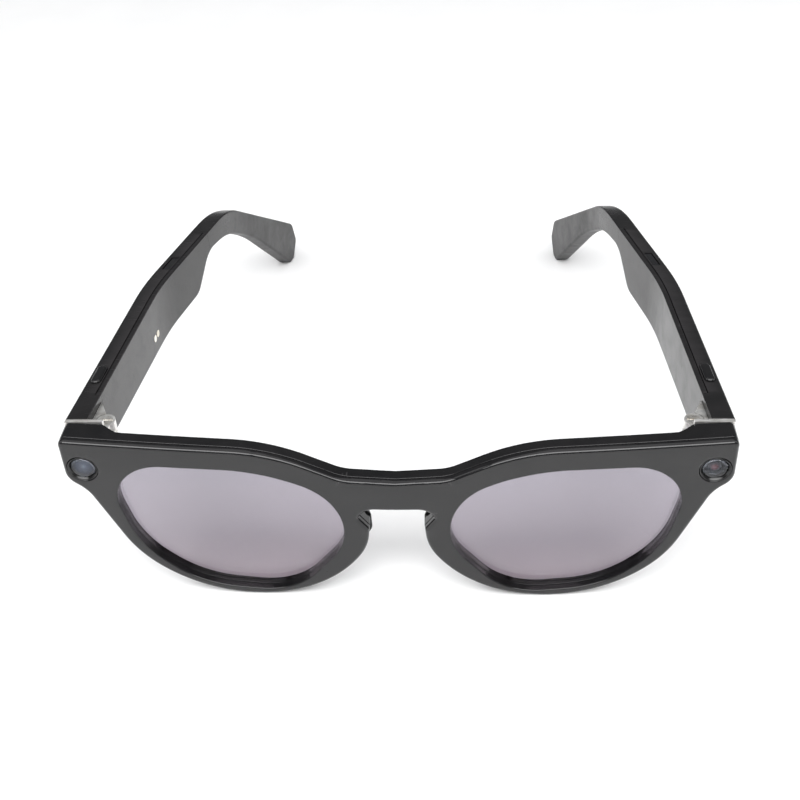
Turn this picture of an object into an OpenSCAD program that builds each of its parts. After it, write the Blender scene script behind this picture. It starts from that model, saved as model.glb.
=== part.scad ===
// Smart glasses: a thick round front with a camera and a light in its endpieces,
// and two folding temples that hold the batteries, boards and speakers.
// +X is the wearer's left, -Y is where the wearer looks and +Z is up. The glasses
// stand open, on the lower rims and the temple tips.

/* [Front] */
// Depth of the front shell, from its face to the joint behind it
shell_t = 1.7; // [1.5:0.1:1.9]
// Depth of the whole rim
rim_t = 4.6; // [4.5:0.1:4.8]
// Radius that the front is bowed to, seen from above
bow_r = 1350; // [1200:50:1600]
// Forward lean of the front
lean = 4; // [3.5:0.25:4.5]
// Depth at which the rear faces of the endpieces stand
endpiece_y = 5.4; // [5.3:0.1:5.5]

/* [Lenses] */
// Thickness of a lens
lens_t = 1.6; // [1.4:0.1:1.6]
// Height that the lens edge reaches into the rim
groove_depth = 0.9; // [0.7:0.1:0.9]

/* [Camera and light] */
// Diameter of the flare in the face
flare_d = 6.0; // [5.8:0.1:6.0]
// Diameter of the domed glass
glass_d = 5.2; // [5.0:0.1:5.2]
// Side of the square module behind the glass
module_side = 5.4; // [5.2:0.1:5.5]

/* [Hinges] */
// Distance from the middle plane to the hinge pin
pin_x = 64.3;
// Distance from the front to the hinge pin
pin_y = 9.7;
// Radius of a knuckle
knuckle_r = 2.1; // [1.9:0.05:2.1]
// Radius of the pin
pin_r = 0.7; // [0.6:0.05:0.8]

/* [Temples] */
// Thickness of a temple
temple_t = 5.0; // [5.0:0.1:5.4]
// Thickness of the inner cover
cover_t = 1.2; // [1.1:0.1:1.2]
// Height of the middle of the top edge above the table
temple_top = 45;
// Height that a button stands proud of the temple
button_proud = 0.6; // [0.5:0.1:0.8]

/* [Hidden] */

LEFT = 1;
RIGHT = -1;
eps = 0.02;
fit_gap = 0.05;
// clears the bow of the rim behind a nose pad
pad_lift = 0.08;
arc_step = 10;
bow_reach = 76;
bow_step = 9.5;
round_fn = 48;
// the middle of the glasses from front to back, which the origin stands under
middle_y = 80.37;
// height that the face outline is lifted, so that its lowest point meets the table
face_lift = 0.426;

black = "#1b1b1d";
dark_grey = "#2c2c30";
silver = "#c9c8c4";
tint = "#8f879b";
board_green = "#1f5a3c";
foil = "#a8abb0";

// Outlines, as corner points [x, y, radius of the corner]
// half of the front, from the top of the bridge round the rim to its underside
half_front = [
    [0, 35.8, 0], [11.4, 36.6, 10.3], [26.7, 44.4, 40.1], [72, 46.4, 1.4], [72.2, 35.2, 4.3],
    [68.2, 32.1, 8.9], [60.1, 11.8, 26.5], [44.4, -1.8, 32.6], [16.4, 1.1, 28.8], [6.6, 16, 14.7],
    [6.2, 21.7, 0.7], [8.5, 25.1, 0.8], [6.9, 27.7, 3.8], [0, 27.6, 0]
];
// the opening in front of one lens
lens_opening = [
    [64.4, 40.3, 11], [28.8, 39.1, 42.3], [14.8, 32.3, 15], [10, 18.6, 14.5], [24.4, 0.6, 16.1],
    [46.3, 2.7, 24], [58.9, 14.5, 24]
];
// the brow, along which the flexible cable runs
brow = [[0, 35.8, 0], [11.4, 36.6, 10.3], [26.7, 44.4, 40.1], [66.5, 46.1, 0]];
// a nose pad, seen from the front and from the side
pad_outline = [
    [9.9, 10.5, 1], [5.9, 18, 3], [6.0, 22.5, 1.5], [8.6, 25.2, 1], [11.2, 24, 1], [12.6, 11.5, 1]
];
pad_side = [
    [8, rim_t, 0], [11, rim_t + 1.6, 1.5], [18.5, rim_t + 4.4, 5], [24.6, rim_t + 3.2, 1],
    [26, rim_t, 0]
];
// the plan of an endpiece, with the step from the thin rim to the thick block
endpiece_plan = [
    [58, -8, 0], [58, 3.6, 0], [60.6, 3.8, 2.2], [63.4, endpiece_y, 2.2], [72.4, endpiece_y, 1.2],
    [72.6, -8, 0]
];
// the side of a temple, from the hinge over the top to the tip and back
temple_side = [
    [7.0, temple_top + 1.3, 0.8], [58, temple_top + 0.1, 80], [110, temple_top - 0.2, 30],
    [161.2, 12.4, 4], [163.8, 5.2, 2.4], [159.8, 0, 1.6], [156.6, 0, 1.6], [124, 29, 100],
    [106, 38.4, 30], [94.5, 39.6, 8], [85.5, 31.2, 5], [60, 31.0, 60], [7.0, 33.4, 0.8]
];
// the middle line of a temple, seen from above
temple_line = [[70.1, 7.0, 0], [66.3, 66, 90], [57.1, 104, 160], [45.5, 166, 0]];
temple_slope = atan((temple_line[0].x - temple_line[1].x) / (temple_line[1].y - temple_line[0].y));

hinge_bottom = 34.8;
knuckle_count = 5;
knuckle_h = 1.92;
hinge_top = hinge_bottom + knuckle_count * knuckle_h;
plate_t = 1.0;
plate_top = 47.0;
// the ends of the hinge plate, and the step up to its tall part
plate_x = [61.4, 63.6, 72.0];
tang_x = [68.15, 69.0];
tang_y = [8.4, 20.5];
tang_z = [36.6, 42.4];
tang_head_h = 0.4;
root_x = 67.0;
root_end_y = 16.4;
cover_front_y = 17;
cover_rear_y = 95;
cavity_y = [21, 91];
cavity_z = [34.6, 43.4];
cavity_out = 1.3;
half_t = temple_t / 2;
cover_n = cover_t - half_t;
inside_n = [cover_n + 0.2, cavity_out - 0.1];

module_at = [67.8, 38.6];
// clears the bowed rear of the front shell
module_front = shell_t + 0.2;
pocket_depth = 5.2;
dome_r = 4.2;
dome_back = -0.6;
glass_h = 1.95;
lens_front = 2.3;
grille_y = [73.5, 82];
button_at = [0.4, 24.8];
button_l = 6.8;
button_w = 2.3;
// height of the temple's top edge beside the button
button_base = temple_top + 0.9;
button_travel = 0.5;
flange_h = 0.45;
flange_z = cavity_z[1] - 0.1 - flange_h;
stem_z = cavity_z[1] - 0.2;
switch_top = flange_z - button_travel - 0.15;
contact_y = [55.9, 58.3];
contact_z = 35.6;
contact_r = 0.95;

// Functions that turn corner points into rounded outlines
function unit(v) = v / norm(v);
function turned(v, a) = [v.x * cos(a) - v.y * sin(a), v.x * sin(a) + v.y * cos(a)];
function side_of(a, b) = sign(a.x * b.y - a.y * b.x);
function arc_at(before, corner, after) =
    let (
        q = [corner.x, corner.y],
        to_before = unit([before.x, before.y] - q),
        to_after = unit([after.x, after.y] - q),
        opening = acos(to_before * to_after),
        start = to_before * corner.z / tan(opening / 2),
        centre = unit(to_before + to_after) * corner.z / sin(opening / 2),
        sweep = -side_of(to_before, to_after) * (180 - opening),
        steps = max(2, ceil(abs(sweep) / arc_step))
    )
    [for (k = [0:steps]) q + centre + turned(start - centre, sweep * k / steps)];
function rounded(corners) =
    let (n = len(corners))
    [for (i = [0:n - 1], p = corners[i].z == 0
        ? [[corners[i].x, corners[i].y]]
        : arc_at(corners[(i + n - 1) % n], corners[i], corners[(i + 1) % n])) p];
function mirrored_back(points) = [for (i = [len(points) - 1:-1:0]) [-points[i].x, points[i].y]];
function heading(points, i) = unit(points[min(i + 1, len(points) - 1)] - points[max(i - 1, 0)]);
function heading_round(points, i) =
    let (n = len(points)) unit(points[(i + 1) % n] - points[(i + n - 1) % n]);
function right_of(v) = [v.y, -v.x];
// a closed outline, grown outward by d
function grown(points, d) =
    [for (i = [0:len(points) - 1]) points[i] + d * right_of(heading_round(points, i))];
// a line moved to its right by d
function beside(points, d) =
    [for (i = [0:len(points) - 1]) points[i] + d * right_of(heading(points, i))];
// how far the bowed face lies back at a distance from the middle
function bow_back(x) = x * x / (2 * bow_r);
function backwards(points) = [for (i = [len(points) - 1:-1:0]) points[i]];

front_half_points = rounded(half_front);
front_points = concat(front_half_points, mirrored_back(front_half_points));
opening_points = rounded(lens_opening);
brow_half_points = rounded(brow);
brow_points = concat(mirrored_back(brow_half_points), [for (p = brow_half_points) if (p.x > 0) p]);
line_points = rounded(temple_line);
module_back = bow_back(module_at.x);

// Places
module placed() {
    translate([0, -middle_y, 0]) children();
}
module on_side(side) {
    placed() mirror([side == LEFT ? 0 : 1, 0, 0]) children();
}
// the frame of the face: x across, y up the face, z back into it
module in_face() {
    translate([0, 0, face_lift]) rotate([90 + lean, 0, 0]) mirror([0, 0, 1]) children();
}
// the part of its children between two depths in the bowed front
module layer(from, to) {
    stations = [for (x = [-bow_reach:bow_step:bow_reach]) x];
    front_edge = [for (x = stations) [x, from + bow_back(x)]];
    rear_edge = [for (x = stations) [x, to + bow_back(x)]];
    intersection() {
        children();
        translate([0, 80, 0]) rotate([90, 0, 0]) linear_extrude(120)
            polygon(concat(front_edge, backwards(rear_edge)));
    }
}
module front_prism(depth) {
    translate([0, 0, -1]) linear_extrude(depth + 1) polygon(front_points);
}
module lens_prism(growth) {
    translate([0, 0, -1]) linear_extrude(12) polygon(grown(opening_points, growth));
}
module both_sides() {
    children();
    mirror([1, 0, 0]) children();
}
module at_module() {
    translate([module_at.x, module_at.y, 0]) children();
}
// The front
module front_shell() {
    color(black) placed() in_face() difference() {
        layer(0, shell_t) front_prism(12);
        both_sides() lens_prism(0);
        both_sides() at_module() translate([0, 0, -2])
            cylinder(d = flare_d + 0.8, h = 12, $fn = round_fn);
    }
}

module endpiece_block() {
    intersection() {
        in_face() layer(shell_t + eps, 12) front_prism(14);
        translate([0, 0, 32.5]) linear_extrude(20) polygon(rounded(endpiece_plan));
    }
}

module flex_band(near, far) {
    points = concat(beside(brow_points, near), backwards(beside(brow_points, far)));
    translate([0, 0, -1]) linear_extrude(12) polygon(points);
}
// the short leg of the band, down to the square module
module flex_drop(width, foot_y) {
    translate([66.3 - width / 2, foot_y, -1]) linear_extrude(12) square([width, 44 - foot_y]);
}

module rear_shell() {
    color(black) placed() difference() {
        union() {
            in_face() layer(shell_t + eps, rim_t) front_prism(12);
            both_sides() endpiece_block();
        }
        in_face() both_sides() lens_prism(0);
        in_face() layer(lens_front, lens_front + lens_t + 2 * fit_gap)
            both_sides() lens_prism(groove_depth + fit_gap);
        in_face() both_sides() at_module() translate([0, 0, module_back])
            translate([-module_side / 2 - fit_gap, -module_side / 2 - fit_gap, 0])
            cube([module_side + 2 * fit_gap, module_side + 2 * fit_gap, pocket_depth]);
        in_face() layer(0, shell_t + 0.6) {
            flex_band(1.4, 2.6);
            both_sides() flex_drop(1.2, 40.9);
        }
        both_sides() plate_screw_places() cylinder(r = 0.6, h = 3.1, $fn = round_fn);
    }
}

module lens() {
    color(tint) in_face()
        layer(lens_front + fit_gap, lens_front + fit_gap + lens_t) lens_prism(groove_depth);
}
module lens_left() {
    on_side(LEFT) lens();
}
module lens_right() {
    on_side(RIGHT) lens();
}

// a nose pad: the rear of the nose side of a rim, swelling toward the face
module nose_pad() {
    color(black) in_face() intersection() {
        translate([0, 0, rim_t + pad_lift]) linear_extrude(8) polygon(rounded(pad_outline));
        translate([20, 0, 0]) rotate([0, -90, 0]) linear_extrude(20)
            polygon([for (p = rounded(pad_side)) [p.y, p.x]]);
        rotate([0, 14, 0]) translate([4.4, 0, 0]) cube([20, 40, 20]);
    }
}
module nose_pad_left() {
    on_side(LEFT) nose_pad();
}
module nose_pad_right() {
    on_side(RIGHT) nose_pad();
}

// the black ring with a conical flare, set in the face round each glass
module bezel() {
    color(black) in_face() at_module() difference() {
        translate([0, 0, module_back + 0.02])
            cylinder(d = flare_d + 0.8 - 2 * fit_gap, h = shell_t - 0.25, $fn = round_fn);
        translate([0, 0, module_back - 0.1])
            cylinder(d1 = flare_d + 0.2, d2 = glass_d + 0.1, h = 1.1, $fn = round_fn);
        translate([0, 0, module_back])
            cylinder(d = glass_d + 0.1, h = 3, $fn = round_fn);
    }
}
module camera_bezel() {
    on_side(LEFT) bezel();
}
module light_bezel() {
    on_side(RIGHT) bezel();
}

module domed_glass() {
    in_face() at_module() intersection() {
        translate([0, 0, module_back + dome_back]) cylinder(d = glass_d, h = glass_h, $fn = round_fn);
        translate([0, 0, module_back + dome_back + dome_r]) sphere(r = dome_r, $fn = round_fn);
    }
}
module camera_glass() {
    color(dark_grey) on_side(LEFT) domed_glass();
}
module light_glass() {
    color("#4b4f66") on_side(RIGHT) domed_glass();
}

// the square housing with a round barrel behind each glass
module sensor_module(barrel_r) {
    in_face() at_module() translate([0, 0, module_back]) difference() {
        translate([-module_side / 2, -module_side / 2, module_front])
            cube([module_side, module_side, pocket_depth - module_front - fit_gap]);
        translate([0, 0, shell_t]) cylinder(r = barrel_r, h = 2, $fn = round_fn);
    }
}
module camera_module() {
    color(dark_grey) on_side(LEFT) sensor_module(1.6);
}
module light_module() {
    color("#d8d8d0") on_side(RIGHT) sensor_module(1.1);
}

module front_flex() {
    color("#b5762a") placed() in_face() layer(shell_t + 0.15, shell_t + 0.45) {
        flex_band(1.55, 2.45);
        both_sides() flex_drop(0.8, 41.3);
    }
}

// Hinges
module plate_screw_places() {
    for (x = [66.6, 70.4]) {
        translate([x, endpiece_y, 43.3]) rotate([90, 0, 0]) children();
    }
}
module knuckle(k) {
    translate([pin_x, pin_y, hinge_bottom + k * knuckle_h + eps])
        cylinder(r = knuckle_r, h = knuckle_h - 2 * eps, $fn = round_fn);
}
module pin_hole(r) {
    translate([pin_x, pin_y, hinge_bottom - 1]) cylinder(r = r, h = 14, $fn = round_fn);
}
module front_hinge() {
    web_w = 2.4;
    color(silver) difference() {
        union() {
            translate([plate_x[0], endpiece_y + eps, hinge_bottom - 0.6])
                cube([plate_x[2] - plate_x[0], plate_t, hinge_top - hinge_bottom + 0.6]);
            translate([plate_x[1], endpiece_y + eps, hinge_bottom])
                cube([plate_x[2] - plate_x[1], plate_t, plate_top - hinge_bottom]);
            for (k = [0, 2, 4]) {
                knuckle(k);
                translate([pin_x - web_w / 2, endpiece_y + 0.5, hinge_bottom + k * knuckle_h + eps])
                    cube([web_w, pin_y - endpiece_y - 0.5, knuckle_h - 2 * eps]);
            }
        }
        pin_hole(pin_r + 0.01);
        translate([pin_x, pin_y, hinge_top - 0.9]) cylinder(r = 1.55, h = 2, $fn = round_fn);
        plate_screw_places() translate([0, 0, -3]) cylinder(r = 0.65, h = 4, $fn = round_fn);
        plate_screw_places() translate([0, 0, -3]) cylinder(r = 1.15, h = 2.45, $fn = round_fn);
    }
}
module front_hinge_left() {
    on_side(LEFT) front_hinge();
}
module front_hinge_right() {
    on_side(RIGHT) front_hinge();
}

// the two screws that the temples turn on, with a slotted head on top
module hinge_pins() {
    color(silver) placed() both_sides() difference() {
        translate([pin_x, pin_y, 0]) {
            translate([0, 0, hinge_bottom + 0.1])
                cylinder(r = pin_r, h = hinge_top - hinge_bottom - 0.2, $fn = round_fn);
            translate([0, 0, hinge_top - 0.88]) cylinder(r = 1.5, h = 0.9, $fn = round_fn);
        }
        translate([pin_x - 2, pin_y - 0.2, hinge_top - 0.3]) cube([4, 0.4, 1]);
    }
}

module hinge_plate_screws() {
    color(silver) placed() both_sides() plate_screw_places() {
        translate([0, 0, -0.95]) cylinder(r = 0.55, h = 3.6, $fn = round_fn);
        translate([0, 0, -0.98]) cylinder(r = 1.1, h = 0.4, $fn = round_fn);
    }
}

// Temples, drawn for the wearer's left
module temple_band(near, far) {
    points = concat(beside(line_points, near), backwards(beside(line_points, far)));
    linear_extrude(60) polygon(points);
}
module temple_profile() {
    translate([30, 0, 0]) rotate([90, 0, 90]) linear_extrude(60) polygon(rounded(temple_side));
}
// the part of a temple band between two distances along y and two heights
module temple_piece(near, far, ys, zs) {
    intersection() {
        temple_band(near, far);
        translate([30, ys[0], zs[0]]) cube([60, ys[1] - ys[0], zs[1] - zs[0]]);
    }
}
// the frame of the straight part of a temple: x out from its middle line, y along it
module on_temple(y) {
    translate([temple_line[0].x - (y - temple_line[0].y) * tan(temple_slope), y, 0])
        rotate([0, 0, temple_slope]) children();
}
module pill(length, width, height) {
    linear_extrude(height) {
        translate([-width / 2, -(length - width) / 2]) square([width, length - width]);
        for (end = [-1, 1]) {
            translate([0, end * (length - width) / 2]) circle(d = width, $fn = round_fn);
        }
    }
}
module at_button() {
    on_temple(button_at.y) translate([button_at.x, 0, 0]) children();
}
// the flat plate of the temple leaf and the root that joins it to the gusset
module tang(gap) {
    height = tang_z[1] - tang_z[0] + 2 * gap;
    translate([tang_x[0] - gap, tang_y[0] - gap, tang_z[0] - gap])
        cube([tang_x[1] - tang_x[0] + 2 * gap, tang_y[1] - tang_y[0] + 2 * gap, height]);
    translate([root_x - gap, tang_y[0] - gap, tang_z[0] - gap])
        cube([tang_x[0] - root_x + gap + eps, root_end_y - tang_y[0] + 2 * gap, height]);
}
module hinge_screw_places() {
    for (z = [38.1, 40.9]) {
        translate([tang_x[0] + tang_head_h, tang_y[1] - 1.7, z]) rotate([0, 90, 0]) children();
    }
}

module temple_shell() {
    color(black) difference() {
        intersection() {
            temple_profile();
            temple_band(-half_t, half_t);
        }
        temple_piece(-half_t - 1, cover_n + fit_gap, [cover_front_y, cover_rear_y], [0, 60]);
        temple_piece(cover_n, cavity_out, cavity_y, cavity_z);
        tang(fit_gap);
        hinge_screw_places() cylinder(r = 0.6, h = 1.9, $fn = round_fn);
        at_button() translate([0, 0, stem_z - button_travel - 0.1])
            pill(button_l + 0.2, button_w + 0.2, 4);
        temple_piece(-0.75, 1.15, [74.9, 81.1], [44.1, 60]);
        temple_piece(-0.4, 0.8, [grille_y[0] + 1, grille_y[1] - 1], [20, 36]);
        temple_piece(-0.7, 1.1, [grille_y[0] - fit_gap, grille_y[1] + fit_gap], [20, 32.2]);
        on_temple(67) translate([0.2, 0, 28]) cylinder(r = 0.4, h = 8, $fn = round_fn);
    }
}

module temple_cover(contacts) {
    color(dark_grey) difference() {
        intersection() {
            temple_profile();
            temple_piece(-half_t, cover_n, [cover_front_y + fit_gap, cover_rear_y - fit_gap], [0, 60]);
        }
        if (contacts) {
            contact_places() cylinder(r = contact_r + 0.03, h = 6, center = true, $fn = round_fn);
        }
    }
}

module contact_places() {
    for (y = contact_y) {
        on_temple(y) translate([-half_t, 0, contact_z]) rotate([0, 90, 0]) children();
    }
}

module temple_hinge() {
    gusset = [[65.0, 8.0], [67.48, 8.0], [66.93, 16.6], [64.6, 11.6]];
    color(silver) difference() {
        union() {
            difference() {
                union() {
                    translate([0, 0, hinge_bottom]) linear_extrude(hinge_top - hinge_bottom)
                        polygon(gusset);
                    tang(0);
                }
                pin_hole(knuckle_r + 0.15);
            }
            for (k = [1, 3]) {
                knuckle(k);
                translate([0, 0, hinge_bottom + k * knuckle_h + eps])
                    linear_extrude(knuckle_h - 2 * eps) polygon(gusset);
            }
        }
        pin_hole(pin_r + fit_gap);
        hinge_screw_places() cylinder(r = 0.65, h = 1, $fn = round_fn);
        hinge_screw_places() translate([0, 0, -1]) cylinder(r = 1.15, h = 1, $fn = round_fn);
    }
}

module hinge_screws() {
    color(silver) hinge_screw_places() {
        translate([0, 0, eps - tang_head_h]) cylinder(r = 0.55, h = 2.1, $fn = round_fn);
        translate([0, 0, eps - tang_head_h])
            cylinder(r = 1.1, h = tang_head_h - 2 * eps, $fn = round_fn);
    }
}

module battery() {
    color(foil) temple_piece(inside_n[0], inside_n[1], [38.5, 62], [35, 43]);
}
module board() {
    color(board_green) temple_piece(inside_n[1] - 0.8, inside_n[1], [21.6, 37.5], [35, 41.6]);
    color(dark_grey) {
        temple_piece(inside_n[0] + 0.3, inside_n[1] - 0.8, [29.5, 35.5], [35.6, 41.2]);
        temple_piece(inside_n[0] + 0.6, inside_n[1] - 0.8, [23.5, 27.5], [35.8, 39.2]);
    }
}
module speaker() {
    color(dark_grey) temple_piece(inside_n[0], inside_n[1], [72, 83.5], [34.8, 42.6]);
}
module speaker_grille() {
    color(dark_grey) difference() {
        temple_piece(-0.65, 1.05, grille_y, [31.4, 32.15]);
        for (y = [grille_y[0] + 1.5:1.5:grille_y[1] - 1.5]) {
            temple_piece(-0.3, 0.7, [y - 0.45, y + 0.45], [20, 36]);
        }
    }
}
module microphone() {
    color(foil) temple_piece(-0.9, 0.9, [65.4, 68.4], [34.7, 35.7]);
}
module switch_body() {
    color(foil) at_button() {
        translate([-0.85, -2.2, switch_top - 0.6]) cube([1.7, 4.4, 0.5]);
        translate([0, 0, switch_top - 0.2]) cylinder(r = 0.6, h = 0.2, $fn = round_fn);
    }
}
module top_window() {
    color(dark_grey) temple_piece(-0.7, 1.1, [74.95, 81.05], [44.15, 44.82]);
}
module button() {
    color(black) at_button() {
        translate([-1.2, -button_l / 2 - 0.3, flange_z])
            cube([2.0, button_l + 0.6, flange_h]);
        translate([0, 0, stem_z])
            pill(button_l, button_w, button_base + button_proud - stem_z);
    }
}

module left_temple_shell() {
    on_side(LEFT) temple_shell();
}
module left_temple_cover() {
    on_side(LEFT) temple_cover(false);
}
module left_temple_hinge() {
    on_side(LEFT) temple_hinge();
}
module left_hinge_screws() {
    on_side(LEFT) hinge_screws();
}
module left_battery() {
    on_side(LEFT) battery();
}
module left_board() {
    on_side(LEFT) board();
}
module left_speaker() {
    on_side(LEFT) speaker();
}
module left_speaker_grille() {
    on_side(LEFT) speaker_grille();
}
module left_microphone() {
    on_side(LEFT) microphone();
}
module left_switch() {
    on_side(LEFT) switch_body();
}
module left_top_window() {
    on_side(LEFT) top_window();
}
module left_button() {
    on_side(LEFT) button();
}

module right_temple_shell() {
    on_side(RIGHT) temple_shell();
}
module right_temple_cover() {
    on_side(RIGHT) temple_cover(true);
}
module right_temple_hinge() {
    on_side(RIGHT) temple_hinge();
}
module right_hinge_screws() {
    on_side(RIGHT) hinge_screws();
}
module right_battery() {
    on_side(RIGHT) battery();
}
module right_board() {
    on_side(RIGHT) board();
}
module right_speaker() {
    on_side(RIGHT) speaker();
}
module right_speaker_grille() {
    on_side(RIGHT) speaker_grille();
}
module right_microphone() {
    on_side(RIGHT) microphone();
}
module right_switch() {
    on_side(RIGHT) switch_body();
}
module right_top_window() {
    on_side(RIGHT) top_window();
}
module right_button() {
    on_side(RIGHT) button();
}
module charging_contacts() {
    color(silver) on_side(RIGHT) contact_places()
        translate([0, 0, -0.08]) cylinder(r = contact_r, h = cover_t, $fn = round_fn);
}

front_shell();
rear_shell();
lens_left();
lens_right();
nose_pad_left();
nose_pad_right();
camera_bezel();
camera_glass();
camera_module();
light_bezel();
light_glass();
light_module();
front_flex();
front_hinge_left();
front_hinge_right();
hinge_pins();
hinge_plate_screws();
left_temple_shell();
left_temple_cover();
left_temple_hinge();
left_hinge_screws();
left_battery();
left_board();
left_speaker();
left_speaker_grille();
left_microphone();
left_switch();
left_top_window();
left_button();
right_temple_shell();
right_temple_cover();
right_temple_hinge();
right_hinge_screws();
right_battery();
right_board();
right_speaker();
right_speaker_grille();
right_microphone();
right_switch();
right_top_window();
right_button();
charging_contacts();
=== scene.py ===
"""Smart glasses standing open on a pale floor: bowed front, tinted lenses, folding temples."""

import math

import bmesh
import bpy
from mathutils import Matrix, Vector


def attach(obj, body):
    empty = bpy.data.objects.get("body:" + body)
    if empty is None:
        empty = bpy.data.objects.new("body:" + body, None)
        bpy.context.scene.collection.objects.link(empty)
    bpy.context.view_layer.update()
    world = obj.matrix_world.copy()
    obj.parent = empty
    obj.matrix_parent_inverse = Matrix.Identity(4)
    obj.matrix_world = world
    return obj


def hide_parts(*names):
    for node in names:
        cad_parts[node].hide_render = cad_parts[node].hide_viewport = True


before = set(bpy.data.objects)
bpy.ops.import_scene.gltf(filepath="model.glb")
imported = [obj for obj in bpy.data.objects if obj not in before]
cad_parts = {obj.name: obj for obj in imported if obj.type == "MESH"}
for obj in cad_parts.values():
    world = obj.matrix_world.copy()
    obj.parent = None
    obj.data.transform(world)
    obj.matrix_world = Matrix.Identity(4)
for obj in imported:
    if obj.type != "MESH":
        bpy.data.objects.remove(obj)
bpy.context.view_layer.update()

MM = 0.001
LEFT, RIGHT = 1, -1
SIDE_NAMES = {LEFT: "left", RIGHT: "right"}

# The front, in mm: x across, v up the face, d back from it
MIDDLE_Y = 80.37
FACE_LIFT = 0.426
BOW_RADIUS = 1350.0
LEAN = math.radians(4)
SHELL_T = 1.7
RIM_T = 4.6
SEAM = 0.16
ENDPIECE_Y = 5.4
ENDPIECE_STEP = (59.6, 64.2)
ENDPIECE_FOOT = (30.8, 33.4)
HALF_FRONT = [
    (0, 35.8, 0), (11.4, 36.6, 10.3), (26.7, 44.4, 40.1), (72, 46.4, 1.4), (72.2, 35.2, 4.3),
    (68.2, 32.1, 8.9), (60.1, 11.8, 26.5), (44.4, -1.8, 32.6), (16.4, 1.1, 28.8), (6.6, 16, 14.7),
    (6.2, 21.7, 0.7), (8.5, 25.1, 0.8), (6.9, 27.7, 3.8), (0, 27.6, 0),
]
LENS_OPENING = [
    (64.4, 40.3, 11), (28.8, 39.1, 42.3), (14.8, 32.3, 15), (10, 18.6, 14.5), (24.4, 0.6, 16.1),
    (46.3, 2.7, 24), (58.9, 14.5, 24),
]
PAD_OUTLINE = [
    (9.9, 10.5, 1), (5.9, 18, 3), (6.0, 22.5, 1.5), (8.6, 25.2, 1), (11.2, 24, 1), (12.6, 11.5, 1),
]
PAD_HEIGHTS = [(9.5, 0.3), (11.5, 1.6), (15, 3.2), (18.5, 4.2), (22, 3.9), (24.2, 2.9), (26, 0.4)]
LENS_DEPTH = (2.35, 3.95)
LENS_GROWTH = 0.85
LENS_CENTRE = (37.4, 20.8)
LENS_HALF = (26.0, 20.5)
LENS_BULGE = 1.0
MODULE_AT = (67.8, 38.6)
FLARE_R = 3.0
FLARE_SEAT = 0.4
FRONT_HALF_X, FRONT_TOP_V = 72, 46
SEAM_R = 0.16
HIDDEN_R = 0.08
FACE_EDGE_R, FACE_EDGE_GAIN = 0.85, 0.05
REAR_EDGE_R, REAR_EDGE_GAIN = 0.5, 0.4
FACE_OPENING_R, REAR_OPENING_R = 0.32, 0.45
LENS_EDGE_R = 0.25
PAD_EDGE_R = 0.42
PAD_NOSE_X = (12.5, 6.5)
PAD_THINNING = 0.45
PAD_LEAN = 0.3

# The temples, in mm: y along, z up, n out from the middle line
TEMPLE_TOP = 45.0
TEMPLE_HALF_T = 2.5
COVER_N = -1.3
COVER_Y = (17.0, 95.0)
TEMPLE_SIDE = [
    (7.0, TEMPLE_TOP + 1.3, 0.8), (58, TEMPLE_TOP + 0.1, 80), (110, TEMPLE_TOP - 0.2, 30),
    (161.2, 12.4, 4), (163.8, 5.2, 2.4), (159.8, 0, 1.6), (156.6, 0, 1.6), (124, 29, 100),
    (106, 38.4, 30), (94.5, 39.6, 8), (85.5, 31.2, 5), (60, 31.0, 60), (7.0, 33.4, 0.8),
]
TEMPLE_LINE = [(70.1, 7.0, 0), (66.3, 66, 90), (57.1, 104, 160), (45.5, 166, 0)]
TIP_FADE = (0.012, 0.045)  # where the tips turn satin, in the frame's metres
BUTTON_N, BUTTON_Y = 0.4, 24.8
BUTTON_L, BUTTON_W = 6.8, 2.3
BUTTON_TOP = TEMPLE_TOP + 1.5
BUTTON_GAP = 0.12
WINDOW = ((-0.75, 1.15), (74.9, 81.1))
WINDOW_GAP = 0.15
WINDOW_DEPTH = 0.8
GRILLE = ((-0.7, 1.1), (73.45, 82.05))
OUTLINE_GAP = 2.5


# ---------------------------------------------------------------- outlines
def rounded(corners, step=2.5, closed=True):
    """An outline with rounded corners, from (x, y, corner radius) points."""
    points = []
    for i, (x, y, radius) in enumerate(corners):
        corner = Vector((x, y))
        if radius == 0:
            points.append(corner)
            continue
        before = (Vector(corners[i - 1][:2]) - corner).normalized()
        after = (Vector(corners[(i + 1) % len(corners)][:2]) - corner).normalized()
        opening = before.angle(after)
        centre = (before + after).normalized() * (radius / math.sin(opening / 2))
        arm = before * (radius / math.tan(opening / 2)) - centre
        turn = before.x * after.y - before.y * after.x
        sweep = -math.copysign(math.pi - opening, turn)
        steps = max(3, math.ceil(abs(sweep) / math.radians(step)))
        for k in range(steps + 1):
            points.append(corner + centre + Matrix.Rotation(sweep * k / steps, 2) @ arm)
    return spaced(points, OUTLINE_GAP, closed)


def spaced(points, gap, closed=True):
    """The same outline with no long edge and no doubled point."""
    out = []
    count = len(points) if closed else len(points) - 1
    for i in range(count):
        a, b = points[i], points[(i + 1) % len(points)]
        length = (b - a).length
        if length < 0.01:
            continue
        parts = max(1, math.ceil(length / gap))
        out += [a.lerp(b, k / parts) for k in range(parts)]
    if not closed:
        out.append(points[-1])
    return out


def circle(centre, radius, count=64):
    """A round outline."""
    turn = 2 * math.pi / count
    return [Vector(centre) + radius * Vector((math.cos(turn * k), math.sin(turn * k)))
            for k in range(count)]


def pill(length, width, middle=(0, 0)):
    """A slot outline that runs along y."""
    straight, radius = (length - width) / 2, width / 2
    points = []
    for k in range(33):
        points.append(Vector((radius * math.cos(math.pi * k / 32),
                              straight + radius * math.sin(math.pi * k / 32))))
    points += [-p for p in points]
    return spaced([p + Vector(middle) for p in points], 1.5)


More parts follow.
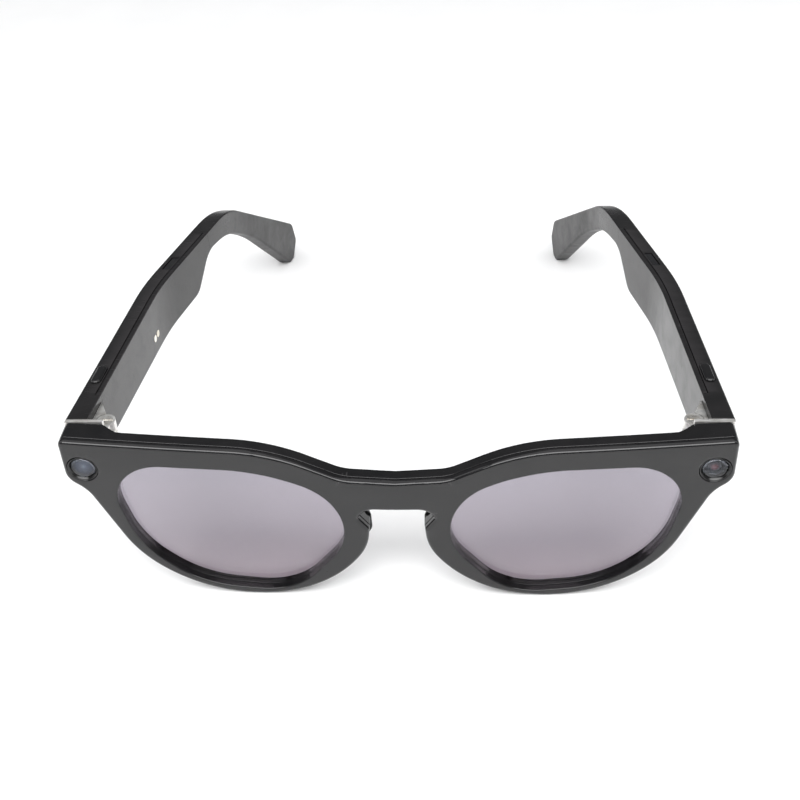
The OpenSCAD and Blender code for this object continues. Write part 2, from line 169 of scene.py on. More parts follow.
def normals_of(points):
    """Unit normals that point out of a closed outline."""
    area = sum(a.x * b.y - b.x * a.y for a, b in zip(points, points[1:] + points[:1]))
    out = []
    for i in range(len(points)):
        heading = (points[(i + 1) % len(points)] - points[i - 1]).normalized()
        out.append(Vector((heading.y, -heading.x)) * math.copysign(1, area))
    return out


def grown(points, distance):
    """A closed outline grown outward."""
    return [p + n * distance for p, n in zip(points, normals_of(points))]


half_front = rounded(HALF_FRONT, closed=False)
front_outline = spaced(half_front + [Vector((-p.x, p.y)) for p in reversed(half_front)],
                       OUTLINE_GAP)
lens_opening = rounded(LENS_OPENING)
temple_outline = rounded(TEMPLE_SIDE)


# ---------------------------------------------------------------- mesh building
def slab(outline, near, far, near_r=0.3, far_r=0.3, holes=(), hole_near_r=0.2, hole_far_r=0.2,
         steps=5):
    """A solid from depth near to depth far with rounded edges, flat until it is placed.

    A radius is a number, or a function of the outline's point and outward normal."""
    bm = bmesh.new()
    loops = [(outline, 1, near_r, far_r)]
    loops += [(hole, -1, hole_near_r, hole_far_r) for hole in holes]
    caps = [[], []]
    for points, sign, front_r, back_r in loops:
        normals = [n * sign for n in normals_of(points)]
        rings = []
        for end, radius, sense in ((near, front_r, 1), (far, back_r, -1)):
            order = range(steps + 1) if sense == 1 else range(steps, -1, -1)
            for k in order:
                angle = math.pi / 2 * k / steps
                ring = []
                for p, n in zip(points, normals):
                    r = radius(p, n) if callable(radius) else radius
                    q = p - n * r * (1 - math.sin(angle))
                    ring.append(bm.verts.new((q.x, q.y, end + sense * r * (1 - math.cos(angle)))))
                rings.append(ring)
        for ring, following in zip(rings, rings[1:]):
            for i in range(len(points)):
                j = (i + 1) % len(points)
                bm.faces.new((ring[i], ring[j], following[j], following[i]))
        for cap, ring in ((caps[0], rings[0]), (caps[1], rings[-1])):
            for i in range(len(points)):
                cap.append(bm.edges.get((ring[i], ring[(i + 1) % len(points)])))
    for cap in caps:
        bmesh.ops.triangle_fill(bm, use_beauty=True, edges=cap)
    bmesh.ops.recalc_face_normals(bm, faces=bm.faces)
    return bm


def sliced(bm, axis, start, stop, gap):
    """Cuts every face along parallel planes, so that the solid can bend."""
    normal = Vector((0, 0, 0))
    normal[axis] = 1
    for k in range(math.ceil((stop - start) / gap) + 1):
        geometry = bm.verts[:] + bm.edges[:] + bm.faces[:]
        bmesh.ops.bisect_plane(bm, geom=geometry, plane_co=normal * (start + k * gap),
                               plane_no=normal, dist=1e-4)
    return bm


def placed(bm, place):
    """Moves every vertex to where place says, and sets the faces' directions again."""
    for vertex in bm.verts:
        vertex.co = place(vertex.co)
    bmesh.ops.recalc_face_normals(bm, faces=bm.faces)
    if bm.calc_volume(signed=True) < 0:
        bmesh.ops.reverse_faces(bm, faces=bm.faces)
    return bm


def box_solid(low, high):
    """A plain box, used only for cutting."""
    bm = bmesh.new()
    bmesh.ops.create_cube(bm, size=1)
    middle = (Vector(low) + Vector(high)) / 2
    size = Vector(high) - Vector(low)
    return placed(bm, lambda co: middle + Vector(c * s for c, s in zip(co, size)))


def loose_object(bm, name):
    """An object that holds the mesh, linked to the scene."""
    mesh = bpy.data.meshes.new(name)
    bm.to_mesh(mesh)
    bm.free()
    obj = bpy.data.objects.new(name, mesh)
    bpy.context.scene.collection.objects.link(obj)
    return obj


def carved(bm, cutters):
    """The solid with the cutters' solids taken out of it."""
    body = loose_object(bm, "carved")
    tools = [loose_object(cutter, "cutter") for cutter in cutters]
    for tool in tools:
        cut = body.modifiers.new("cut", "BOOLEAN")
        cut.operation, cut.solver, cut.object = "DIFFERENCE", "EXACT", tool
    graph = bpy.context.evaluated_depsgraph_get()
    mesh = bpy.data.meshes.new_from_object(body.evaluated_get(graph))
    result = bmesh.new()
    result.from_mesh(mesh)
    for obj in [body] + tools:
        data = obj.data
        bpy.data.objects.remove(obj)
        bpy.data.meshes.remove(data)
    bpy.data.meshes.remove(mesh)
    return result


def lathe(profile, place, count=64):
    """A turned solid from (radius, depth) points, with its axis where place puts it."""
    bm = bmesh.new()
    rings = []
    for radius, depth in profile:
        if radius == 0:
            rings.append([bm.verts.new((0, 0, depth))])
        else:
            rings.append([bm.verts.new((p.x, p.y, depth)) for p in circle((0, 0), radius, count)])
    for ring, following in zip(rings, rings[1:]):
        for i in range(count):
            j = (i + 1) % count
            corners = [ring[i % len(ring)], ring[j % len(ring)],
                       following[j % len(following)], following[i % len(following)]]
            corners = list(dict.fromkeys(corners))
            if len(corners) > 2:
                bm.faces.new(corners)
    return placed(bm, place)


def piece(bm, name, body, material, replaces=(), crease=38.0):
    """A finished piece: smooth with crisp edges, on its body, in place of its CAD nodes."""
    for edge in bm.edges:
        edge.smooth = edge.calc_face_angle(0) < math.radians(crease)
    for face in bm.faces:
        face.smooth = True
    obj = loose_object(bm, name)
    weighted = obj.modifiers.new("even shading", "WEIGHTED_NORMAL")
    weighted.keep_sharp = True
    weighted.weight = 60
    obj.data.materials.append(material)
    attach(obj, body)
    if replaces:
        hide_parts(*replaces)
    return obj


# ---------------------------------------------------------------- places
def smooth_step(value, low, high):
    """0 before low, 1 past high, and a soft change between; low may be the larger."""
    t = min(1.0, max(0.0, (value - low) / (high - low)))
    return t * t * (3 - 2 * t)


def on_face(co, side=LEFT):
    """From (x, v, d) of the front, in mm, to the frame, in metres."""
    depth = co.z + co.x * co.x / (2 * BOW_RADIUS)
    y = depth * math.cos(LEAN) - co.y * math.sin(LEAN)
    z = co.y * math.cos(LEAN) + depth * math.sin(LEAN) + FACE_LIFT
    return Vector((side * co.x, y - MIDDLE_Y, z)) * MM


def on_rear(co):
    """As on_face, with the endpieces swelling back to the hinge plates."""
    point = on_face(co)
    rear = on_face(Vector((co.x, co.y, RIM_T)))
    swell = smooth_step(abs(co.x), *ENDPIECE_STEP) * smooth_step(co.y, *ENDPIECE_FOOT)
    swell *= smooth_step(co.z, SHELL_T + 0.5, RIM_T - 0.6)
    point.y += swell * ((ENDPIECE_Y - MIDDLE_Y) * MM - rear.y)
    return point


temple_line = rounded(TEMPLE_LINE, 0.5, closed=False)


def line_at(y):
    """x of a temple's middle line at y, and how much its slope stretches widths there."""
    def x_at(where):
        for a, b in zip(temple_line, temple_line[1:]):
            if where <= b.y:
                break
        return a.x + (b.x - a.x) * (where - a.y) / (b.y - a.y)
    slope = (x_at(y + 1.5) - x_at(y - 1.5)) / 3
    return x_at(y), math.sqrt(1 + slope * slope)


line_cache = {}


def on_temple(co, side):
    """From (y, z, n) of a temple, in mm, to the frame, in metres."""
    key = round(co.x, 3)
    if key not in line_cache:
        line_cache[key] = line_at(co.x)
    x, stretch = line_cache[key]
    return Vector((side * (x + co.z * stretch), co.x - MIDDLE_Y, co.y)) * MM


def standing(co):
    """From an upright slab (n, y, z) to a temple's flat (y, z, n)."""
    return Vector((co.y, co.z, co.x))


# ---------------------------------------------------------------- materials
def new_material(name):
    """An empty node material with its shader, and a maker of further nodes."""
    material = bpy.data.materials.new(name)
    material.use_nodes = True
    tree = material.node_tree
    shader = tree.nodes["Principled BSDF"]

    def node(kind, inputs=(), **settings):
        made = tree.nodes.new(kind)
        for key, value in settings.items():
            setattr(made, key, value)
        for key, value in dict(inputs).items():
            if isinstance(value, bpy.types.NodeSocket):
                tree.links.new(value, made.inputs[key])
            else:
                made.inputs[key].default_value = value
        return made

    return material, tree, shader, node


def link(tree, source, target):
    """Joins one node's output to another's input."""
    tree.links.new(source, target)


def object_place(node):
    """The point on the surface, in the frame's metres, which patterns are made from."""
    return node("ShaderNodeTexCoord").outputs["Object"]


def ramp(node, factor, stops):
    """A colour ramp over (position, colour) stops."""
    made = node("ShaderNodeValToRGB", {"Fac": factor})
    bar = made.color_ramp
    while len(bar.elements) < len(stops):
        bar.elements.new(0.5)
    for element, (position, colour) in zip(bar.elements, stops):
        element.position = position
        element.color = (*colour, 1)
    return made.outputs["Color"]


def spread(node, value, low, high, from_low=0.35, from_high=0.65):
    """A value stretched to a new range."""
    return node("ShaderNodeMapRange", {"Value": value, "From Min": from_low, "From Max": from_high,
                                       "To Min": low, "To Max": high}).outputs["Result"]


def scratches(node, place, scale, stretch, angle):
    """Hair-fine lines: 1 on a scratch, 0 elsewhere."""
    turned = node("ShaderNodeMapping", {"Vector": place, "Rotation": (0.3, angle, angle),
                                        "Scale": (scale, scale * stretch, scale)})
    noise = node("ShaderNodeTexNoise", {"Vector": turned.outputs["Vector"], "Scale": 1.0,
                                        "Detail": 1.0, "Roughness": 0.4})
    return spread(node, noise.outputs["Fac"], 0.0, 1.0, 0.71, 0.76)


# how much lighter than the light swirl colour the painted edge highlight goes
EDGE_HIGHLIGHT_GAIN = 4


def polished_plastic(name, dark, light, rough_low, rough_high, edge_highlight=0.35, peel=0.02, satin=0.0):
    """Tumbled acetate: faint swirls of colour, a polish that varies, fine scratches, and a painted
    highlight that lightens the sharp convex edges.

    satin is how much duller the surface gets from the front to the tips."""
    material, tree, shader, node = new_material(name)
    place = object_place(node)
    swirl = node("ShaderNodeTexNoise", {"Vector": place, "Scale": 70.0, "Detail": 5.0,
                                        "Roughness": 0.6, "Distortion": 1.4})
    body = ramp(node, swirl.outputs["Fac"], [(0.32, dark), (0.7, light)])
    # painted highlight: sharp convex edges, found by pointiness, are mixed toward a colour several
    # times the light swirl colour
    edge = spread(node, node("ShaderNodeNewGeometry").outputs["Pointiness"], 0.0, edge_highlight, 0.53, 0.6)
    highlighted_edges = node("ShaderNodeMix", {"Factor": edge, "A": body, "B": (*[EDGE_HIGHLIGHT_GAIN * c for c in light], 1)},
                data_type="RGBA")
    link(tree, highlighted_edges.outputs["Result"], shader.inputs["Base Color"])
    smudge = node("ShaderNodeTexNoise", {"Vector": place, "Scale": 190.0, "Detail": 6.0,
                                         "Roughness": 0.62, "Distortion": 0.5})
    rough = spread(node, smudge.outputs["Fac"], rough_low, rough_high)
    lines = scratches(node, place, 260.0, 30.0, 0.6)
    more = scratches(node, place, 310.0, 26.0, 2.1)
    marks = node("ShaderNodeMath", {0: lines, 1: more}, operation="MAXIMUM").outputs["Value"]
    marked = node("ShaderNodeMath", {0: marks, 1: 0.16, 2: rough}, operation="MULTIPLY_ADD")
    y = node("ShaderNodeSeparateXYZ", {"Vector": place}).outputs["Y"]
    tip = spread(node, y, 0.0, satin, *TIP_FADE)
    dulled = node("ShaderNodeMath", {0: marked.outputs["Value"], 1: tip}, operation="ADD")
    link(tree, dulled.outputs["Value"], shader.inputs["Roughness"])
    wave = node("ShaderNodeTexNoise", {"Vector": place, "Scale": 420.0, "Detail": 2.0})
    height = node("ShaderNodeMath", {0: marks, 1: -0.3, 2: wave.outputs["Fac"]},
                  operation="MULTIPLY_ADD")
    bump = node("ShaderNodeBump", {"Strength": peel, "Distance": 0.0002,
                                   "Height": height.outputs["Value"]})
    link(tree, bump.outputs["Normal"], shader.inputs["Normal"])
    shader.inputs["IOR"].default_value = 1.5
    return material


def satin_plastic(name, dark, light, rough, grain=900.0, strength=0.12):
    """Moulded plastic with a fine spark-eroded grain."""
    material, tree, shader, node = new_material(name)
    place = object_place(node)
    cloud = node("ShaderNodeTexNoise", {"Vector": place, "Scale": 120.0, "Detail": 4.0})
    colour = ramp(node, cloud.outputs["Fac"], [(0.3, dark), (0.7, light)])
    link(tree, colour, shader.inputs["Base Color"])
    pits = node("ShaderNodeTexVoronoi", {"Vector": place, "Scale": grain})
    varied = spread(node, cloud.outputs["Fac"], rough - 0.06, rough + 0.06)
    link(tree, varied, shader.inputs["Roughness"])
    bump = node("ShaderNodeBump", {"Strength": strength, "Distance": 0.0002,
                                   "Height": pits.outputs["Distance"]})
    link(tree, bump.outputs["Normal"], shader.inputs["Normal"])
    return material


def brushed_metal(name, dark, light, rough, brush, strength=0.08):
    """Turned or brushed metal: fine lines along one way, tarnish in random patches."""
    material, tree, shader, node = new_material(name)
    place = object_place(node)
    along = node("ShaderNodeMapping", {"Vector": place, "Scale": brush})
    lines = node("ShaderNodeTexNoise", {"Vector": along.outputs["Vector"], "Scale": 1.0,
                                        "Detail": 3.0, "Roughness": 0.7})
    stain = node("ShaderNodeTexNoise", {"Vector": place, "Scale": 420.0, "Detail": 4.0})
    colour = ramp(node, stain.outputs["Fac"], [(0.34, dark), (0.6, light)])
    link(tree, colour, shader.inputs["Base Color"])
    link(tree, spread(node, lines.outputs["Fac"], rough - 0.08, rough + 0.1),
         shader.inputs["Roughness"])
    bump = node("ShaderNodeBump", {"Strength": strength, "Distance": 0.0001,
                                   "Height": lines.outputs["Fac"]})
    link(tree, bump.outputs["Normal"], shader.inputs["Normal"])
    shader.inputs["Metallic"].default_value = 1.0
    return material


SMEAR_ROUGHNESS = 0.03


def tinted_glass(name, top, middle, bottom, low_z, high_z, ior=1.5):
    """Clear tinted glass with a soft change of tint from top to bottom and faint smears."""
    material, tree, shader, node = new_material(name)
    place = object_place(node)
    height = node("ShaderNodeSeparateXYZ", {"Vector": place}).outputs["Z"]
    drift = node("ShaderNodeTexNoise", {"Vector": place, "Scale": 28.0, "Detail": 2.0})
    level = spread(node, height, 0.0, 1.0, low_z, high_z)
    mixed = node("ShaderNodeMath", {0: drift.outputs["Fac"], 1: 0.25, 2: level},
                 operation="MULTIPLY_ADD")
    tint = ramp(node, mixed.outputs["Value"], [(0.1, bottom), (0.5, middle), (1.0, top)])
    link(tree, tint, shader.inputs["Base Color"])
    smear = node("ShaderNodeTexNoise", {"Vector": place, "Scale": 160.0, "Detail": 5.0,
                                        "Distortion": 0.8})
    link(tree, spread(node, smear.outputs["Fac"], 0.0, SMEAR_ROUGHNESS, 0.45, 0.75),
         shader.inputs["Roughness"])
    shader.inputs["Transmission Weight"].default_value = 1.0
    shader.inputs["IOR"].default_value = ior
    return material


def coated_rings_and_painted_highlight(name, colours, centre, radius, rough):
    """A coated surface whose tint changes in rings round a point of the frame; a bright centre that
    fades to dark is a painted highlight with painted shade round it.
    """
    material, tree, shader, node = new_material(name)
    place = object_place(node)
    away = node("ShaderNodeVectorMath", {0: place, 1: centre}, operation="DISTANCE")
    share = spread(node, away.outputs["Value"], 0.0, 1.0, 0.0, radius)
    grit = node("ShaderNodeTexNoise", {"Vector": place, "Scale": 900.0, "Detail": 3.0})
    blurred = node("ShaderNodeMath", {0: grit.outputs["Fac"], 1: 0.08, 2: share},
                   operation="MULTIPLY_ADD")
    colour = ramp(node, blurred.outputs["Value"], colours)
    link(tree, colour, shader.inputs["Base Color"])
    link(tree, spread(node, grit.outputs["Fac"], rough - 0.03, rough + 0.05),
         shader.inputs["Roughness"])
    shader.inputs["Coat Weight"].default_value = 0.6
    shader.inputs["Coat Roughness"].default_value = 0.03
    return material


def circuit_board_material(name):
    """Green solder mask with straight copper traces under it."""
    material, tree, shader, node = new_material(name)
    place = object_place(node)
    traces = node("ShaderNodeTexBrick", {"Vector": place, "Scale": 420.0, "Mortar Size": 0.035,
                                         "Color1": (0.012, 0.10, 0.045, 1),
                                         "Color2": (0.016, 0.13, 0.055, 1),
                                         "Mortar": (0.05, 0.26, 0.10, 1)})
    link(tree, traces.outputs["Color"], shader.inputs["Base Color"])
    bump = node("ShaderNodeBump", {"Strength": 0.2, "Distance": 0.0001,
                                   "Height": traces.outputs["Fac"]})
    link(tree, bump.outputs["Normal"], shader.inputs["Normal"])
    shader.inputs["Roughness"].default_value = 0.35
    return material


acetate = polished_plastic("black acetate", (0.0045, 0.0045, 0.005), (0.010, 0.0095, 0.010),
                           0.05, 0.13)
temple_black = polished_plastic("temple acetate", (0.006, 0.0058, 0.006), (0.013, 0.012, 0.0125),
                                0.08, 0.18, peel=0.03, satin=0.3)
cover_black = polished_plastic("temple cover", (0.007, 0.0065, 0.007), (0.014, 0.013, 0.0135),
                               0.14, 0.26, peel=0.03)
pad_black = polished_plastic("nose pad acetate", (0.005, 0.005, 0.0055), (0.011, 0.0105, 0.011),
                             0.08, 0.16)
bezel_black = polished_plastic("bezel black", (0.002, 0.002, 0.002), (0.005, 0.005, 0.005),
                               0.18, 0.30, edge_highlight=0.1, peel=0.01)
lens_tint = tinted_glass("lens tint", (0.375, 0.35, 0.40), (0.45, 0.407, 0.462),
                         (0.59, 0.51, 0.57), 4 * MM, 42 * MM)
dome_glass = tinted_glass("dome glass", (0.44, 0.46, 0.50), (0.46, 0.48, 0.53),
                          (0.42, 0.44, 0.50), 36 * MM, 42 * MM, ior=1.36)
inner_plastic = satin_plastic("inner plastic", (0.012, 0.012, 0.013), (0.02, 0.02, 0.021), 0.5)
window_plastic = satin_plastic("window plastic", (0.004, 0.004, 0.005), (0.008, 0.008, 0.009),
                               0.32, grain=1500.0, strength=0.06)
flex_film = satin_plastic("flex film", (0.30, 0.13, 0.02), (0.42, 0.20, 0.04), 0.35, grain=600.0)
grille_paint = satin_plastic("grille paint", (0.008, 0.008, 0.008), (0.014, 0.014, 0.014), 0.42)
hinge_steel = brushed_metal("hinge steel", (0.74, 0.72, 0.68), (0.94, 0.93, 0.91), 0.42,
                            (250.0, 2600.0, 2600.0))
screw_steel = brushed_metal("screw steel", (0.66, 0.62, 0.56), (0.90, 0.88, 0.84), 0.34,
                            (2200.0, 2200.0, 300.0))
contact_plate = brushed_metal("contact plating", (0.72, 0.66, 0.54), (0.92, 0.88, 0.80), 0.14,
                              (1500.0, 1500.0, 1500.0), strength=0.03)
foil = brushed_metal("foil", (0.45, 0.46, 0.48), (0.72, 0.73, 0.75), 0.36, (300.0, 90.0, 900.0),
                     strength=0.25)
board_green = circuit_board_material("circuit board")


# ---------------------------------------------------------------- the front
def under_rims(point, normal):
    """1 where the outline runs under a lens, 0 along the brow and round the nose."""
    return smooth_step(-normal.y, -0.15, 0.7) * smooth_step(abs(point.x), 9, 16)


def face_edge_radius(point, normal):
    """The face's outer edge, a touch softer under the rims than along the brow."""
    return FACE_EDGE_R + FACE_EDGE_GAIN * under_rims(point, normal)


def rear_edge_radius(point, normal):
    """The rear edge of the front, softest under the rims."""
    return REAR_EDGE_R + REAR_EDGE_GAIN * under_rims(point, normal)


openings = [[Vector((side * p.x, p.y)) for p in lens_opening] for side in (LEFT, RIGHT)]
module_holes = [circle((side * MODULE_AT[0], MODULE_AT[1]), FLARE_R + FLARE_SEAT)
                for side in (LEFT, RIGHT)]
face = slab(front_outline, 0, SHELL_T - SEAM / 2, face_edge_radius, SEAM_R,
            holes=openings + module_holes, hole_near_r=FACE_OPENING_R, hole_far_r=HIDDEN_R)
sliced(face, 0, -FRONT_HALF_X, FRONT_HALF_X, 3.0)
sliced(face, 1, 0, FRONT_TOP_V, 4.0)
piece(placed(face, on_face), "front_face", "front", acetate, ["front_shell"])

rear = slab(front_outline, SHELL_T + SEAM / 2, RIM_T, SEAM_R, rear_edge_radius,
            holes=openings, hole_near_r=HIDDEN_R, hole_far_r=REAR_OPENING_R)
sliced(rear, 0, -FRONT_HALF_X, FRONT_HALF_X, 1.5)
sliced(rear, 1, 0, FRONT_TOP_V, 1.6)
piece(placed(rear, on_rear), "front_rear", "front", acetate, ["rear_shell"])

for side in (LEFT, RIGHT):
    name = SIDE_NAMES[side]

    def on_lens(co, side=side):
        """The lens keeps its edge in the groove and swells forward in the middle."""
        out = Vector(co[:2]) - Vector(LENS_CENTRE)
        share = (out.x / LENS_HALF[0]) ** 2 + (out.y / LENS_HALF[1]) ** 2
        return on_face(Vector((co.x, co.y, co.z - LENS_BULGE * max(0.0, 1 - share))), side)

    lens = slab(grown(lens_opening, LENS_GROWTH), *LENS_DEPTH, LENS_EDGE_R, LENS_EDGE_R,
                steps=3)
    sliced(sliced(lens, 0, 10, 66, 1.6), 1, 0, 42, 1.6)
    piece(placed(lens, on_lens), f"{name}_lens", "front", lens_tint,
          [f"lens_{name}"])

    def on_pad(co, side=side):
        """A pad swells toward the middle of its height and leans outward as it rises."""
        for (v_a, h_a), (v_b, h_b) in zip(PAD_HEIGHTS, PAD_HEIGHTS[1:]):
            if co.y <= v_b:
                break
        height = h_a + (h_b - h_a) * smooth_step(co.y, v_a, v_b)
        inward = smooth_step(co.x, *PAD_NOSE_X)
        height *= 1 - PAD_THINNING * (1 - inward)
        rise = co.z * height
        return on_face(Vector((co.x + PAD_LEAN * inward * rise, co.y, RIM_T - 0.1 + rise)), side)

    pad = slab(rounded(PAD_OUTLINE), 0, 1.0, 0.02, PAD_EDGE_R, steps=8)
    sliced(sliced(pad, 0, 5, 13, 0.4), 1, 10, 26, 0.5)
    piece(placed(pad, on_pad), f"{name}_nose_pad", "front", pad_black,
          [f"nose_pad_{name}"], crease=60)

# The flare and the domed glass in each endpiece, with what is seen through the glass.
# Each point is a radius and a depth from the face, in mm.
BEZEL_PROFILE = [
    (3.34, 1.60), (3.34, 0.16), (3.31, 0.09), (3.25, 0.04), (3.18, 0.04), (3.11, 0.09),
    (3.02, 0.20), (2.90, 0.34), (2.78, 0.46), (2.70, 0.54), (2.66, 0.62), (2.65, 0.74),
    (2.65, 1.60),
]
DOME_PROFILE = [
    (0, -0.25), (0.5, -0.23), (1.0, -0.175), (1.5, -0.08), (1.95, 0.035), (2.3, 0.15),
    (2.5, 0.24), (2.6, 0.36), (2.62, 0.5), (2.62, 1.3), (0, 1.3),
]
CAMERA_BARREL = [
    (2.56, 1.34), (2.1, 1.34), (2.0, 1.4), (1.7, 1.44), (1.65, 1.52), (1.4, 1.56), (1.35, 1.64),
    (1.24, 1.66), (1.22, 1.78), (2.56, 1.78),
]
CAMERA_ELEMENT = [
    (0, 1.36), (0.4, 1.38), (0.8, 1.45), (1.1, 1.56), (1.2, 1.64), (1.2, 1.76), (0, 1.76),
]
LIGHT_PLATE = [
    (2.56, 1.36), (2.2, 1.37), (2.1, 1.44), (1.6, 1.44), (1.45, 1.38), (0.9, 1.36), (0.5, 1.34),
    (0, 1.34), (0, 1.76), (2.56, 1.76),
]


def at_module(side):
    """A place function for turned solids on a module's axis, square to the leaning face."""
    offset = Vector((*MODULE_AT, 0))

    def place(co):
        return on_face(offset, side) + Vector((
            side * co.x * MM,
            (co.z * math.cos(LEAN) - co.y * math.sin(LEAN)) * MM,
            (co.y * math.cos(LEAN) + co.z * math.sin(LEAN)) * MM))
    return place


for side, kind in ((LEFT, "camera"), (RIGHT, "light")):
    place = at_module(side)
    piece(lathe(BEZEL_PROFILE, place), f"{kind}_flare", "front", bezel_black,
          [f"{kind}_bezel"], crease=50)
    piece(lathe(DOME_PROFILE, place), f"{kind}_dome", "front", dome_glass,
          [f"{kind}_glass"], crease=50)

camera_centre = at_module(LEFT)(Vector((0, 0, 1.3)))
light_centre = at_module(RIGHT)(Vector((0, 0, 1.2)))
camera_rings = coated_rings_and_painted_highlight(
    "camera rings", [(0.0, (0.02, 0.006, 0.007)), (0.36, (0.012, 0.008, 0.010)),
                     (0.5, (0.05, 0.04, 0.045)), (0.56, (0.006, 0.006, 0.007)),
                     (0.75, (0.03, 0.03, 0.033)), (0.9, (0.006, 0.006, 0.006))],
    camera_centre, 2.5 * MM, rough=0.16)
# painted reflection: a pink centre on the camera element, fading to painted shade at its edge
element_painted_reflection = coated_rings_and_painted_highlight(
    "element painted reflection", [(0.0, (0.75, 0.32, 0.32)), (0.4, (0.42, 0.12, 0.13)),
                        (0.75, (0.10, 0.03, 0.05)), (1.0, (0.02, 0.01, 0.02))],
    camera_centre, 1.25 * MM, rough=0.3)
# painted highlight: the diffuser is pale blue-grey at its centre, and painted shade darkens it to near
# black at its edge
diffuser_painted_highlight = coated_rings_and_painted_highlight(
    "light diffuser painted highlight", [(0.0, (0.60, 0.66, 0.76)), (0.3, (0.26, 0.30, 0.38)),
                       (0.7, (0.11, 0.13, 0.17)), (1.0, (0.03, 0.034, 0.045))],
    light_centre, 2.5 * MM, rough=0.3)
piece(lathe(CAMERA_BARREL, at_module(LEFT)), "camera_barrel", "front",
      camera_rings, crease=30)
piece(lathe(CAMERA_ELEMENT, at_module(LEFT)), "camera_element", "front",
      element_painted_reflection)
piece(lathe(LIGHT_PLATE, at_module(RIGHT)), "diffuser_painted_highlight", "front",
      diffuser_painted_highlight, crease=30)


# ---------------------------------------------------------------- the temples
def temple_outer_radius(point, normal):
    """The outer long edges are softer round the ear tip than along the straight part."""
    return 0.5 + 1.5 * smooth_step(point.x, 98, 122)


def temple_inner_radius(point, normal):
    """The inner long edges, which stay crisper."""
    return 0.28 + 0.4 * smooth_step(point.x, 98, 118)


for side in (LEFT, RIGHT):
    name = SIDE_NAMES[side]
    body = f"{name}_temple"

    def place(co, side=side):
        return on_temple(co, side)

    shell = slab(temple_outline, -TEMPLE_HALF_T, TEMPLE_HALF_T, temple_inner_radius,
                 temple_outer_radius)
    slot_cut = box_solid((COVER_Y[0], 20, -4), (COVER_Y[1], 60, COVER_N + 0.2))
    button_hole = placed(slab(pill(BUTTON_L + 2 * BUTTON_GAP, BUTTON_W + 2 * BUTTON_GAP,
                                   (BUTTON_N, BUTTON_Y)),
                              TEMPLE_TOP - 1.2, TEMPLE_TOP + 3, 0.05, 0.05, steps=1), standing)
    window_cut = box_solid((WINDOW[1][0], TEMPLE_TOP - WINDOW_DEPTH, WINDOW[0][0]),
                           (WINDOW[1][1], TEMPLE_TOP + 3, WINDOW[0][1]))
    grille_cut = box_solid((GRILLE[1][0], 28, GRILLE[0][0]), (GRILLE[1][1], 32.2, GRILLE[0][1]))
    shell = carved(shell, [slot_cut, button_hole, window_cut, grille_cut])
    sliced(shell, 0, 10, 163, 1.5)
    piece(placed(shell, place), f"{name}_temple_outer", body, temple_black,
          [f"{name}_temple_shell"])

    cover = slab(temple_outline, -TEMPLE_HALF_T, COVER_N, temple_inner_radius, 0.18)
    cover = carved(cover, [box_solid((-5, -5, -9), (COVER_Y[0] + 0.06, 60, 9)),
                           box_solid((COVER_Y[1] - 0.06, -5, -9), (170, 60, 9))])
    sliced(cover, 0, 18, 94, 1.5)
    piece(placed(cover, place), f"{name}_temple_inner", body, cover_black,
          [f"{name}_temple_cover"])

    button = placed(slab(pill(BUTTON_L, BUTTON_W, (BUTTON_N, BUTTON_Y)), TEMPLE_TOP - 1.9,
                         BUTTON_TOP, 0.05, 0.55, steps=6), standing)
    piece(placed(button, place), f"{name}_pill_button", f"{name}_button", acetate,
          [f"{name}_button"])

    (n_low, n_high), (y_low, y_high) = WINDOW
    edges_y = (y_low + WINDOW_GAP, y_high - WINDOW_GAP)
    edges_n = (n_low + WINDOW_GAP, n_high - WINDOW_GAP)
    corners = [Vector((edges_y[i], edges_n[j])) for i, j in ((0, 0), (0, 1), (1, 1), (1, 0))]
    window = slab(corners, TEMPLE_TOP - WINDOW_DEPTH, TEMPLE_TOP - 0.16, 0.05, 0.12, steps=3)
    placed(window, lambda co: Vector((co.x, co.z, co.y)))
    piece(placed(sliced(window, 0, 76, 80, 1.0), place), f"{name}_window", body,
          window_plastic, [f"{name}_top_window"])

# ---------------------------------------------------------------- carried-over CAD parts
# each with its material and the width of its softened edges, in mm
CARRIED = {
    "front_hinge_left": (hinge_steel, 0.05), "front_hinge_right": (hinge_steel, 0.05),
    "hinge_pins": (screw_steel, 0.08), "hinge_plate_screws": (screw_steel, 0.06),
    "front_flex": (flex_film, 0.0), "camera_module": (inner_plastic, 0.15),
    "light_module": (inner_plastic, 0.15), "charging_contacts": (contact_plate, 0.08),
}
for name in SIDE_NAMES.values():
    CARRIED.update({
        f"{name}_temple_hinge": (hinge_steel, 0.05), f"{name}_hinge_screws": (screw_steel, 0.06),
        f"{name}_battery": (foil, 0.4), f"{name}_board": (board_green, 0.08),
        f"{name}_speaker": (inner_plastic, 0.3), f"{name}_speaker_grille": (grille_paint, 0.08),
        f"{name}_microphone": (foil, 0.1), f"{name}_switch": (inner_plastic, 0.06),
    })
for node_name, (material, edge_width) in CARRIED.items():
    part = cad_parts[node_name]
    part.data.materials.clear()
    part.data.materials.append(material)
    if edge_width:
        soft = part.modifiers.new("soft edges", "BEVEL")
        soft.width = edge_width * MM
        soft.segments = 2
        soft.limit_method = "ANGLE"
        soft.angle_limit = math.radians(40)
        soft.harden_normals = True

# ---------------------------------------------------------------- floor, light and camera
FLOOR_HALF = 6.0
WORLD_STRENGTH = 0.2
SKY_STRENGTH = 1.15
SKY_SPREAD = math.radians(80)
floor_mesh = bmesh.new()
bmesh.ops.create_grid(floor_mesh, x_segments=8, y_segments=8, size=FLOOR_HALF)
floor = loose_object(floor_mesh, "floor")
floor_material, floor_tree, floor_shader, floor_node = new_material("pale floor")
paper = floor_node("ShaderNodeTexNoise", {"Vector": object_place(floor_node), "Scale": 30.0,
                                          "Detail": 3.0})
link(floor_tree, ramp(floor_node, paper.outputs["Fac"], [(0.3, (0.90, 0.90, 0.90)),
                                                         (0.7, (0.92, 0.92, 0.92))]),
     floor_shader.inputs["Base Color"])
floor_shader.inputs["Roughness"].default_value = 0.9
floor.data.materials.append(floor_material)

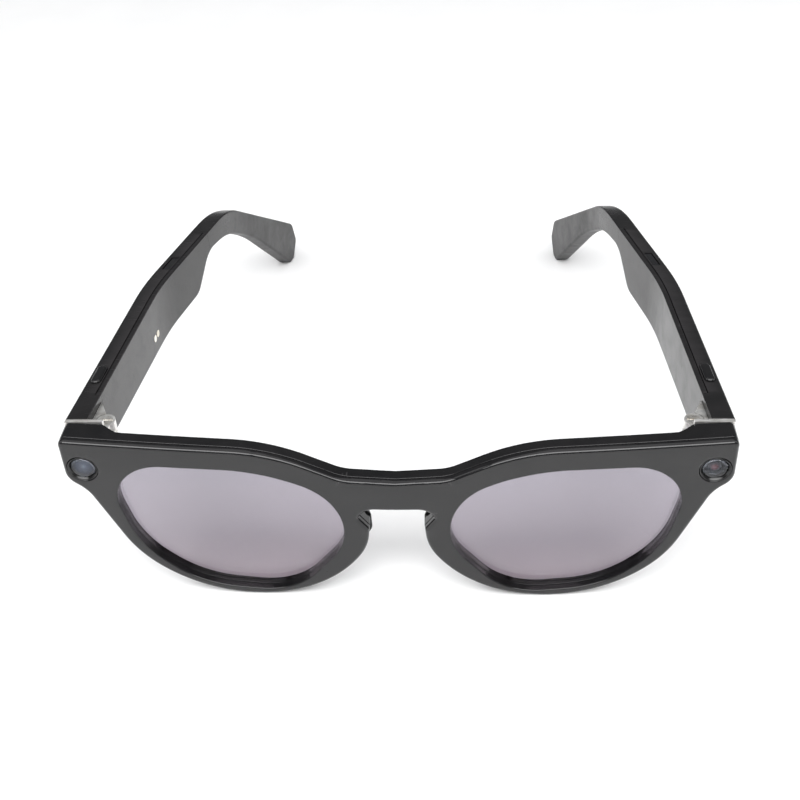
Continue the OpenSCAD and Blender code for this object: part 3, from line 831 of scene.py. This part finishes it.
world = bpy.data.worlds.new("studio")
world.use_nodes = True
world.node_tree.nodes["Background"].inputs["Color"].default_value = (0.95, 0.97, 1.0, 1)
world.node_tree.nodes["Background"].inputs["Strength"].default_value = WORLD_STRENGTH
bpy.context.scene.world = world


def softbox(name, place, target, size, power):
    """A rectangular studio light that faces its target."""
    data = bpy.data.lights.new(name, "AREA")
    data.shape = "RECTANGLE"
    data.size, data.size_y = size
    data.energy = power
    light = bpy.data.objects.new(name, data)
    light.location = place
    light.rotation_mode = "QUATERNION"
    light.rotation_quaternion = (Vector(target) - Vector(place)).to_track_quat("-Z", "Y")
    bpy.context.scene.collection.objects.link(light)


softbox("key", (0.0, -0.62, 0.74), (0, -0.08, 0.04), (1.3, 0.5), 12.2)
softbox("left fill", (-1.0, -0.1, 0.55), (0, 0, 0), (0.6, 0.9), 2.4)
softbox("right fill", (1.0, -0.1, 0.55), (0, 0, 0), (0.6, 0.9), 2.4)
sky = bpy.data.lights.new("sky", "SUN")
sky.energy = SKY_STRENGTH
sky.angle = SKY_SPREAD
sky_object = bpy.data.objects.new("sky", sky)
bpy.context.scene.collection.objects.link(sky_object)

CAMERA_AT = Vector((16.87, -198.40 - MIDDLE_Y, 202.18 + FACE_LIFT)) * MM
LOOK_DOWN, YAW, ROLL = (math.radians(a) for a in (36.23, -4.31, -2.68))
camera_data = bpy.data.cameras.new("camera")
camera_data.sensor_width = 36.0
camera_data.lens = 54.0
camera = bpy.data.objects.new("camera", camera_data)
ahead = Vector((math.sin(YAW) * math.cos(LOOK_DOWN), math.cos(YAW) * math.cos(LOOK_DOWN),
                -math.sin(LOOK_DOWN)))
level_right = Vector((math.cos(YAW), -math.sin(YAW), 0))
level_up = level_right.cross(ahead)
right = level_right * math.cos(ROLL) + level_up * math.sin(ROLL)
up = level_up * math.cos(ROLL) - level_right * math.sin(ROLL)
camera.matrix_world = Matrix((
    (right.x, up.x, -ahead.x, CAMERA_AT.x), (right.y, up.y, -ahead.y, CAMERA_AT.y),
    (right.z, up.z, -ahead.z, CAMERA_AT.z), (0, 0, 0, 1)))
bpy.context.scene.collection.objects.link(camera)
bpy.context.scene.camera = camera
bpy.context.scene.view_settings.view_transform = "Standard"
